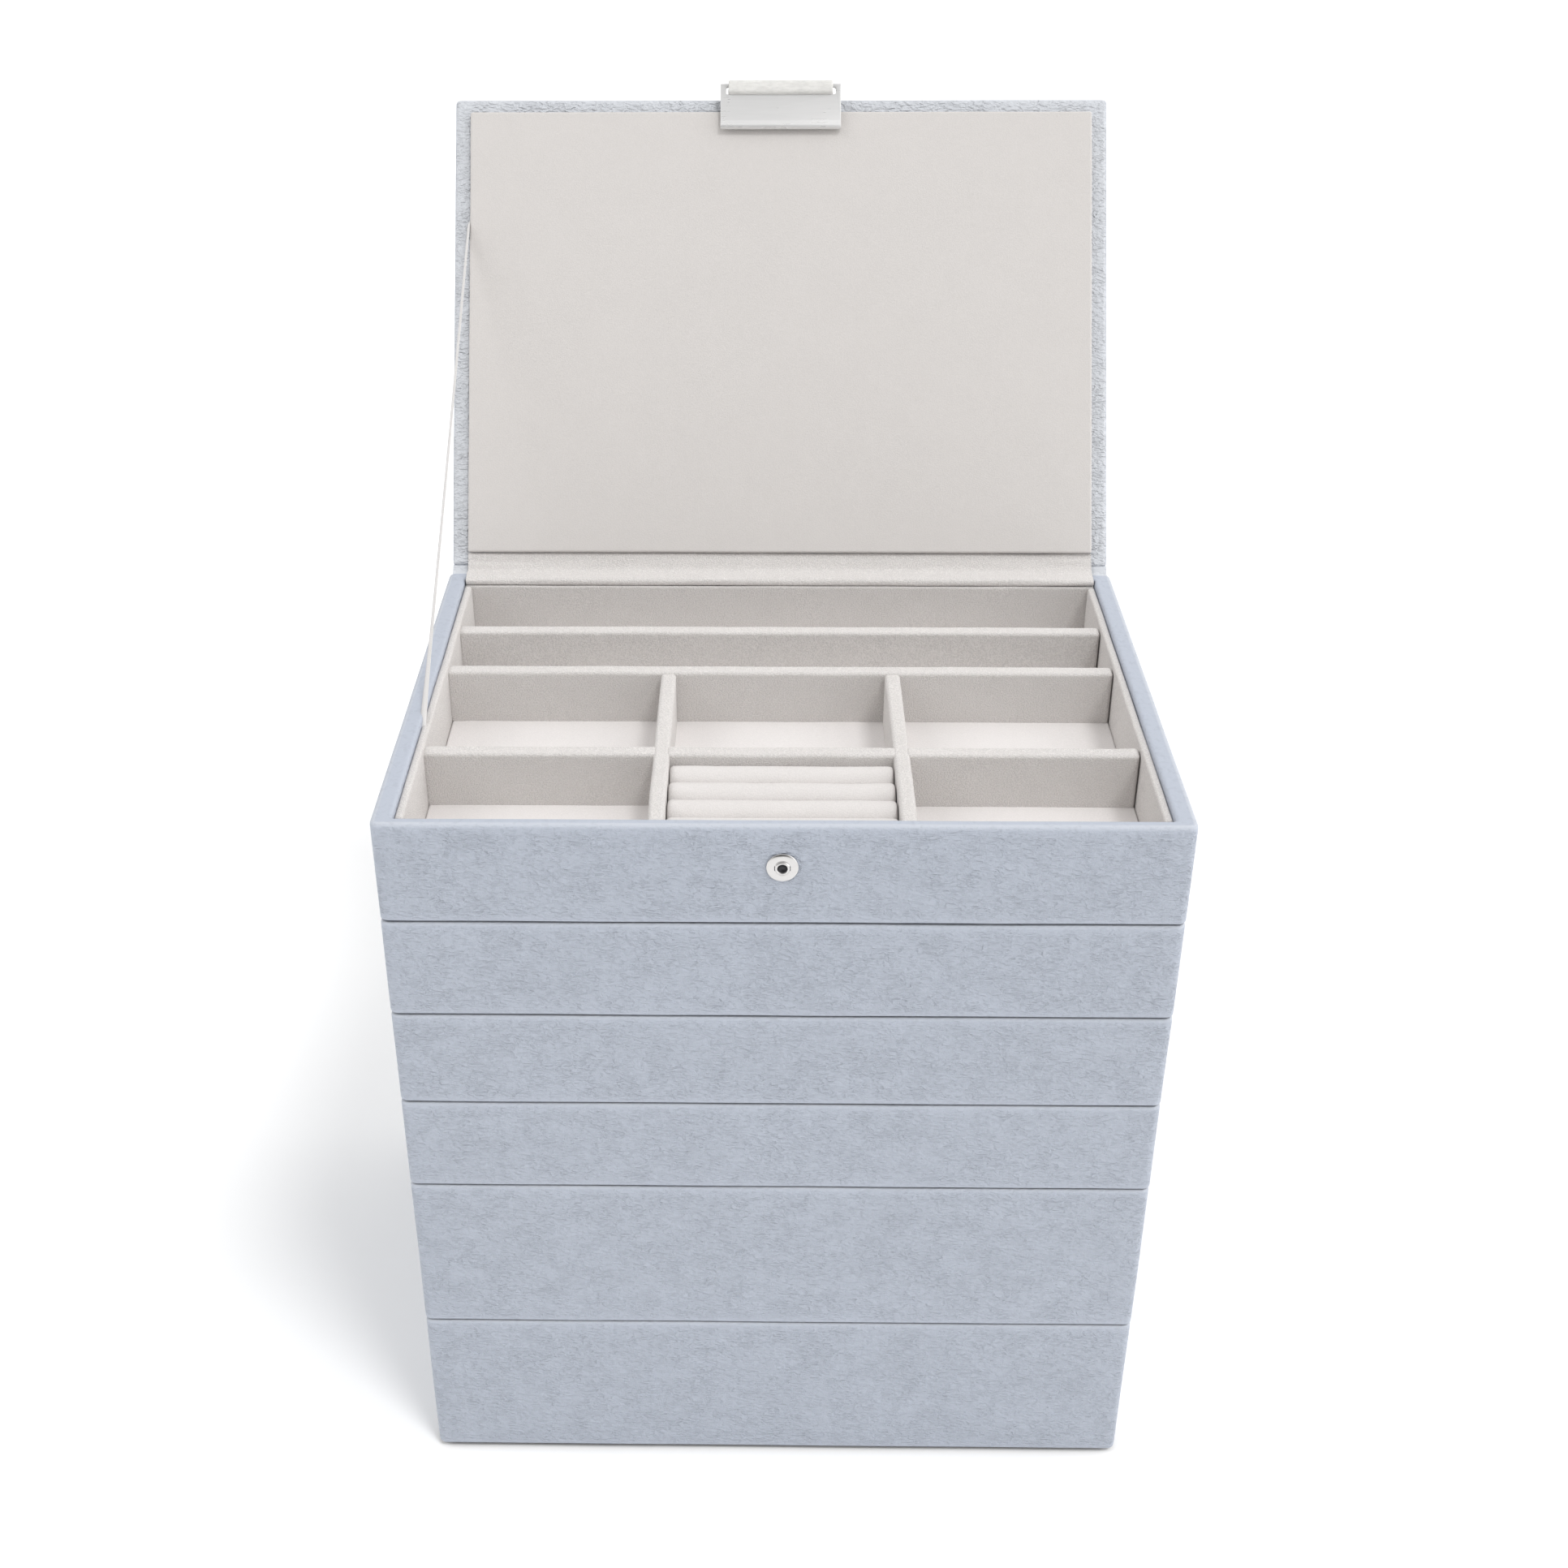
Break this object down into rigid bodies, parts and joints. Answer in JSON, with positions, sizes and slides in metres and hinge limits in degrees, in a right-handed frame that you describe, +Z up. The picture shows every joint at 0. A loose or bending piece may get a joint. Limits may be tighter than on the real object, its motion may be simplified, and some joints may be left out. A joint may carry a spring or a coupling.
{
  "type": "stacking jewelry box",
  "caption": "Stack of leatherette trays lined with velvet compartments, the top one under a hinged lid with a ribbon stay and a snap clasp.",
  "frame": {"origin": "centre of the underside of the bottom tray, on the surface that the stack stands on", "axes": "+Z up, -Y to the front where the clasp closes, +X to the viewer's right"},
  "size_m": [0.25, 0.2819, 0.435],
  "materials": {
    "leatherette": "pebbled matt dusky blue-grey leatherette over board",
    "velvet": "short-pile warm light grey velvet",
    "grey_leather": "smooth pale grey leather",
    "ribbon": "woven pale grey ribbon",
    "steel": "satin nickel-plated steel"
  },
  "bodies": {
    "tray_6": {"tray_6_floor_pad": "velvet", "tray_6_liner": "velvet", "tray_6_long_divider_1": "velvet", "tray_6_plinth": "leatherette", "tray_6_shell": "leatherette"},
    "tray_5": {"tray_5_floor_pad": "velvet", "tray_5_liner": "velvet", "tray_5_long_divider_1": "velvet", "tray_5_long_divider_2": "velvet", "tray_5_plinth": "leatherette", "tray_5_shell": "leatherette"},
    "tray_4": {"tray_4_cross_divider_1": "velvet", "tray_4_floor_pad": "velvet", "tray_4_liner": "velvet", "tray_4_long_divider_1": "velvet", "tray_4_plinth": "leatherette", "tray_4_shell": "leatherette"},
    "tray_3": {"tray_3_cross_divider_1": "velvet", "tray_3_cross_divider_2": "velvet", "tray_3_cross_divider_3": "velvet", "tray_3_floor_pad": "velvet", "tray_3_liner": "velvet", "tray_3_plinth": "leatherette", "tray_3_shell": "leatherette"},
    "tray_2": {"tray_2_cross_divider_1": "velvet", "tray_2_floor_pad": "velvet", "tray_2_liner": "velvet", "tray_2_long_divider_1": "velvet", "tray_2_long_divider_2": "velvet", "tray_2_plinth": "leatherette", "tray_2_shell": "leatherette"},
    "tray_1": {"tray_1_cross_divider_1": "velvet", "tray_1_cross_divider_2": "velvet", "tray_1_cross_divider_3": "velvet", "tray_1_floor_pad": "velvet", "tray_1_liner": "velvet", "tray_1_long_divider_1": "velvet", "tray_1_long_divider_2": "velvet", "tray_1_plinth": "leatherette", "tray_1_shell": "leatherette", "ring_roll_1": "velvet", "ring_roll_2": "velvet", "ring_roll_3": "velvet", "ring_roll_4": "velvet", "snap_socket": "steel"},
    "lid": {"lid_board": "leatherette", "lid_panel": "velvet", "clasp_tab": "grey_leather", "hinge_spine": "leatherette", "hinge_lining": "velvet", "stay_ribbon": "ribbon"},
    "clasp_loop": {"clasp_loop": "grey_leather"},
    "clasp_plate": {"clasp_plate": "steel", "clasp_stud": "steel"}
  },
  "joints": [
    {"name": "tray_5_lift", "type": "slide", "parent": "tray_6", "child": "tray_5", "axis": [0, 0, 1], "range_m": [0, 0.07]},
    {"name": "tray_4_lift", "type": "slide", "parent": "tray_5", "child": "tray_4", "axis": [0, 0, 1], "range_m": [0, 0.07]},
    {"name": "tray_3_lift", "type": "slide", "parent": "tray_4", "child": "tray_3", "axis": [0, 0, 1], "range_m": [0, 0.07]},
    {"name": "tray_2_lift", "type": "slide", "parent": "tray_3", "child": "tray_2", "axis": [0, 0, 1], "range_m": [0, 0.07]},
    {"name": "tray_1_lift", "type": "slide", "parent": "tray_2", "child": "tray_1", "axis": [0, 0, 1], "range_m": [0, 0.07]},
    {"name": "lid_hinge", "type": "hinge", "parent": "tray_1", "child": "lid", "pos_m": [0, 0.09, 0.2742], "axis": [1, 0, 0], "range_deg": [0, 121.3], "deforming": ["hinge_spine", "hinge_lining", "stay_ribbon"]},
    {"name": "clasp_loop_swing", "type": "hinge", "parent": "lid", "child": "clasp_loop", "pos_m": [0, 0.18176, 0.43282], "axis": [1, 0, 0], "range_deg": [-90, 0]},
    {"name": "clasp_plate_swing", "type": "hinge", "parent": "clasp_loop", "child": "clasp_plate", "pos_m": [0, 0.18176, 0.43282], "axis": [1, 0, 0], "range_deg": [-100, 0]}
  ],
  "couplings": [
    {"joint": "clasp_loop_swing", "follows": "lid_hinge", "ratio": -0.7419}
  ]
}
